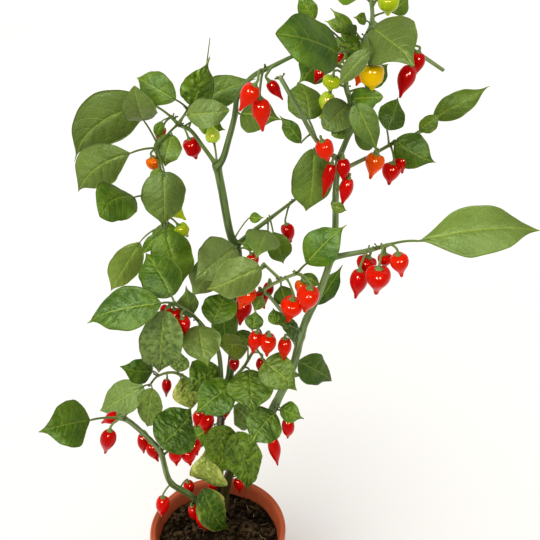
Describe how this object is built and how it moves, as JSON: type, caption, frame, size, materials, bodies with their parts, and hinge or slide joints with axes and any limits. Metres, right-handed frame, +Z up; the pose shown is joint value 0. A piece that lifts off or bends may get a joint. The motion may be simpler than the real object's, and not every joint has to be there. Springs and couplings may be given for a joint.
{
  "type": "potted chilli pepper plant",
  "caption": "Bushy chilli pepper plant with green leaves and glossy ripening chillies, standing in soil in a round tapered brown plastic pot",
  "frame": {"origin": "centre of the pot's underside, where it stands on the floor", "axes": "+Z up along the pot's axis, +X to the viewer's right in the picture and -Y towards the viewer"},
  "size_m": [0.353, 0.2281, 0.6325],
  "materials": {
    "pot": "satin",
    "soil": "rough",
    "leaf": "satin",
    "chilli_red": "gloss",
    "chilli_orange": "gloss",
    "chilli_yellow": "gloss",
    "chilli_green": "gloss"
  },
  "bodies": {
    "root": {"pot": "pot", "soil": "soil", "leafy_stem_left": "leaf", "leafy_stem_middle": "leaf", "leafy_stem_right": "leaf", "green_chilli_crown_long": "chilli_green", "green_chilli_crown_round": "chilli_green", "green_chilli_fork": "chilli_green", "green_chilli_hanging_1": "chilli_green", "green_chilli_hanging_2": "chilli_green", "green_chilli_top": "chilli_green", "orange_chilli_crown": "chilli_orange", "orange_chilli_high_right": "chilli_orange", "orange_chilli_inner": "chilli_orange", "orange_chilli_inner_back": "chilli_orange", "orange_chilli_upper_left": "chilli_orange", "red_chilli_crown_left": "chilli_red", "red_chilli_crown_right": "chilli_red", "red_chilli_cut_end_1": "chilli_red", "red_chilli_cut_end_2": "chilli_red", "red_chilli_inner_1": "chilli_red", "red_chilli_inner_2": "chilli_red", "red_chilli_left_1": "chilli_red", "red_chilli_left_end_1": "chilli_red", "red_chilli_left_end_2": "chilli_red", "red_chilli_left_foot_1": "chilli_red", "red_chilli_left_foot_2": "chilli_red", "red_chilli_low_left": "chilli_red", "red_chilli_low_middle": "chilli_red", "red_chilli_low_right_back": "chilli_red", "red_chilli_mid_right_1": "chilli_red", "red_chilli_mid_right_2": "chilli_red", "red_chilli_mid_right_3": "chilli_red", "red_chilli_middle_1": "chilli_red", "red_chilli_middle_2": "chilli_red", "red_chilli_middle_3": "chilli_red", "red_chilli_middle_foot": "chilli_red", "red_chilli_middle_right": "chilli_red", "red_chilli_right_foot_1": "chilli_red", "red_chilli_right_foot_2": "chilli_red", "red_chilli_right_foot_3": "chilli_red", "red_chilli_right_front": "chilli_red", "red_chilli_right_low": "chilli_red", "red_chilli_stub": "chilli_red", "red_chilli_top_1": "chilli_red", "red_chilli_top_2": "chilli_red", "red_chilli_top_3": "chilli_red", "red_chilli_upper_left_1": "chilli_red", "red_chilli_upper_left_2": "chilli_red", "red_chillies_high_right": "chilli_red", "red_chillies_inner": "chilli_red", "red_chillies_left": "chilli_red", "red_chillies_left_back": "chilli_red", "red_chillies_low_middle": "chilli_red", "red_chillies_low_right": "chilli_red", "red_chillies_mid_right": "chilli_red", "red_chillies_middle_left": "chilli_red", "red_chillies_right_back": "chilli_red", "red_chillies_soil": "chilli_red", "yellow_chilli": "chilli_yellow"}
  },
  "joints": []
}
